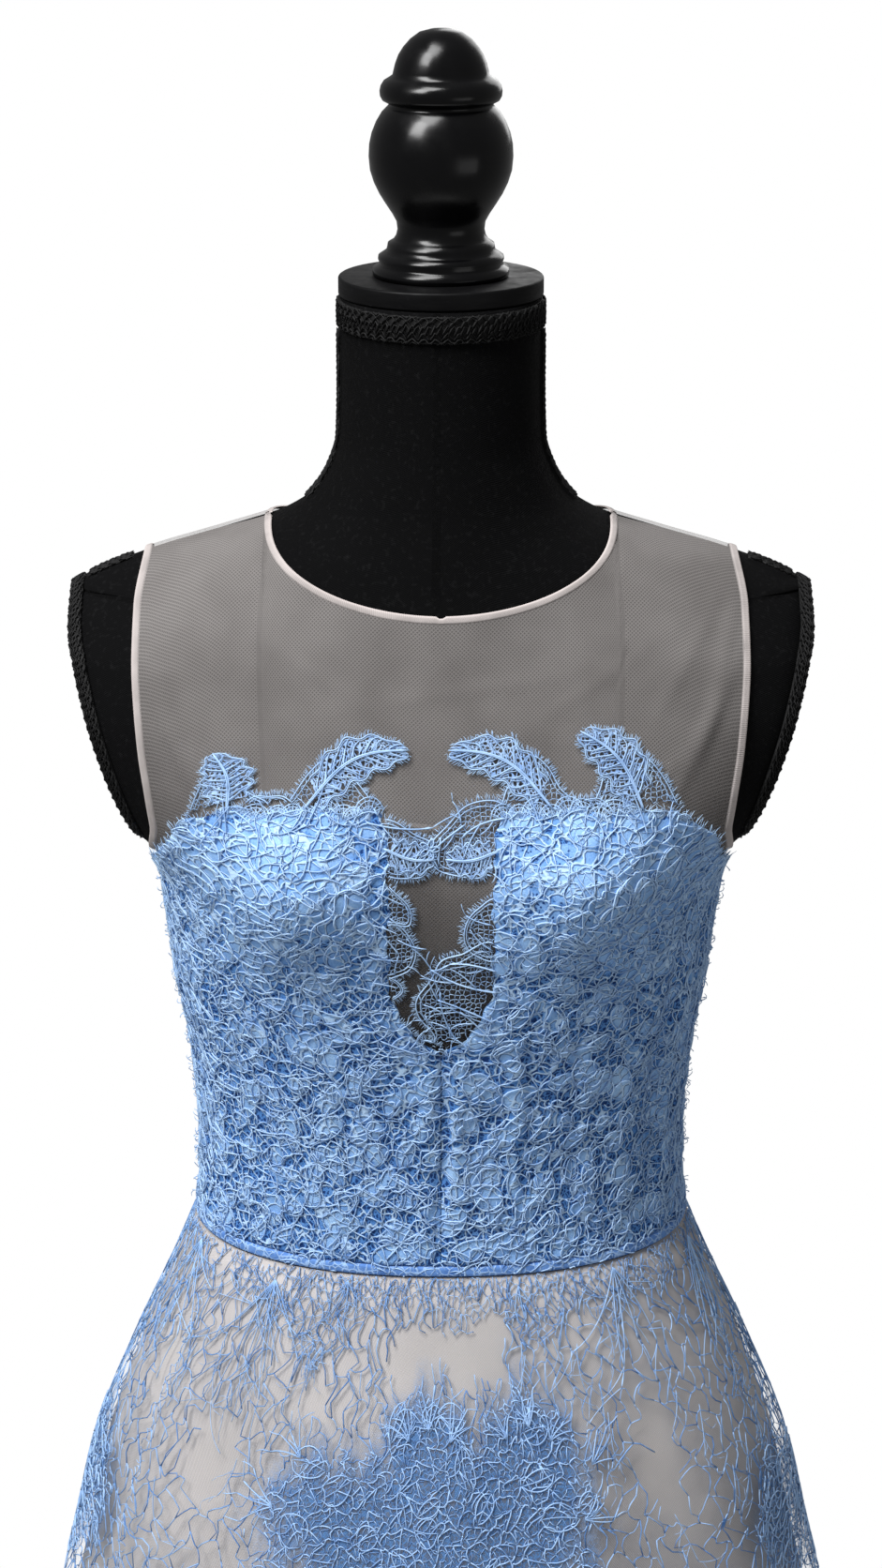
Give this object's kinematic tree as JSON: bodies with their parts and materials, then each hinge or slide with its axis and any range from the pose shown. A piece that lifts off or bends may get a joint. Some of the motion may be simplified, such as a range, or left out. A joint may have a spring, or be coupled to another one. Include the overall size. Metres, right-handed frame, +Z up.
{
  "type": "cocktail dress on a dress form",
  "caption": "Sleeveless knee-length dress with a sheer round-neck yoke, corded lace bodice with a keyhole and a lace-over-lining skirt, on a padded form with pole and base.",
  "frame": {"origin": "on the floor, at the centre of the round base under the pole", "axes": "+Z up along the pole, -Y is the front of the dress, +X is the wearer's left"},
  "size_m": [0.6104, 0.505, 1.6],
  "materials": {
    "form_gloss": "gloss black lacquer",
    "form_wood": "satin black painted wood",
    "form_jersey": "matt black jersey",
    "form_braid": "black gimp braid",
    "form_metal": "satin black paint",
    "yoke_mesh": "sheer nude silk mesh",
    "binding": "pale nude satin binding",
    "lace_blue": "corded sky blue lace",
    "band_blue": "plain blue satin",
    "skirt_lace": "sky blue corded lace on sheer tulle",
    "lining": "soft taupe twill",
    "zip_metal": "blue enamelled zip"
  },
  "bodies": {
    "dress": {"form_finial": "form_gloss", "form_neck_disc": "form_wood", "form_torso": "form_jersey", "form_collar": "form_metal", "form_pole": "form_metal", "form_base": "form_wood", "braid_neck": "form_braid", "yoke_front": "yoke_mesh", "yoke_back_left": "yoke_mesh", "yoke_back_right": "yoke_mesh", "keyhole_mesh": "yoke_mesh", "neck_binding_front": "binding", "neck_binding_back_left": "binding", "neck_binding_back_right": "binding", "braid_neck_side_left": "form_braid", "braid_shoulder_left": "form_braid", "braid_arm_plate_left": "form_braid", "armhole_binding_left": "binding", "braid_neck_side_right": "form_braid", "braid_shoulder_right": "form_braid", "braid_arm_plate_right": "form_braid", "armhole_binding_right": "binding", "bodice_front_left": "lace_blue", "bodice_front_right": "lace_blue", "bodice_side_left": "lace_blue", "bodice_side_right": "lace_blue", "bodice_back_left": "lace_blue", "bodice_back_right": "lace_blue", "waist_band": "band_blue", "lace_leaf_outer_right": "lace_blue", "lace_leaf_inner_right": "lace_blue", "lace_leaf_inner_left": "lace_blue", "lace_leaf_outer_left": "lace_blue", "lace_bridge_right": "lace_blue", "lace_bridge_left": "lace_blue", "skirt_lining_front": "lining", "skirt_lining_back_left": "lining", "skirt_lining_back_right": "lining", "skirt_lace_front": "skirt_lace", "skirt_lace_back_left": "skirt_lace", "skirt_lace_back_right": "skirt_lace", "zip_chain": "zip_metal", "zip_slider": "zip_metal"},
    "zip_pull": {"zip_pull": "zip_metal"}
  },
  "joints": [
    {"name": "zip_pull_swing", "type": "hinge", "parent": "dress", "child": "zip_pull", "pos_m": [0, 0.08037, 1.33974], "axis": [1, 0, 0], "range_deg": [0, 165]}
  ]
}
